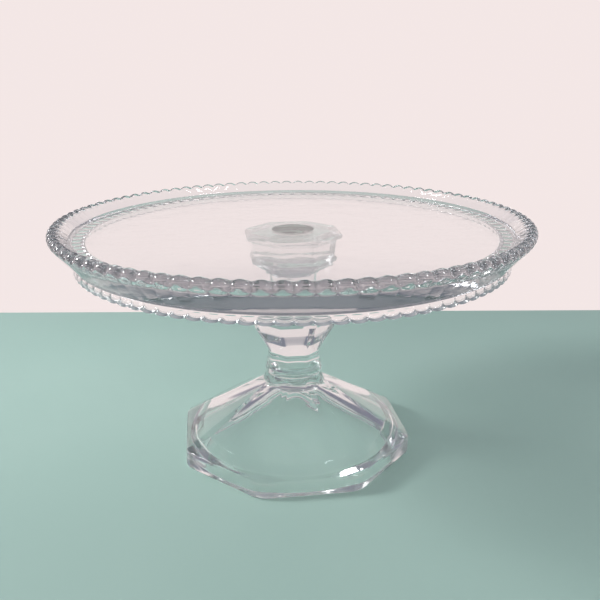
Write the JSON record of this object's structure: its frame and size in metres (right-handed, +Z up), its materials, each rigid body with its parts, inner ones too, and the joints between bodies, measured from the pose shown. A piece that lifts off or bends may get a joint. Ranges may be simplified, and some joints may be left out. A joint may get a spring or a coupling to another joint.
{
  "type": "pedestal cake stand",
  "caption": "Clear pressed-glass cake stand: thick round plate with a beaded rim, bonded to a knopped stem on a hollow eight-sided foot.",
  "frame": {"origin": "on the table, under the centre of the plate, at the middle of the foot's underside", "axes": "+Z up along the stem; two flats of the eight-sided foot face +X and -X, and two face +Y and -Y"},
  "size_m": [0.21, 0.21, 0.1113],
  "materials": {
    "pressed_glass": "clear pressed soda-lime glass, fire polished",
    "clear_adhesive": "clear cured glass adhesive"
  },
  "bodies": {
    "root": {"plate": "pressed_glass", "bond": "clear_adhesive", "pedestal": "pressed_glass"}
  },
  "joints": []
}
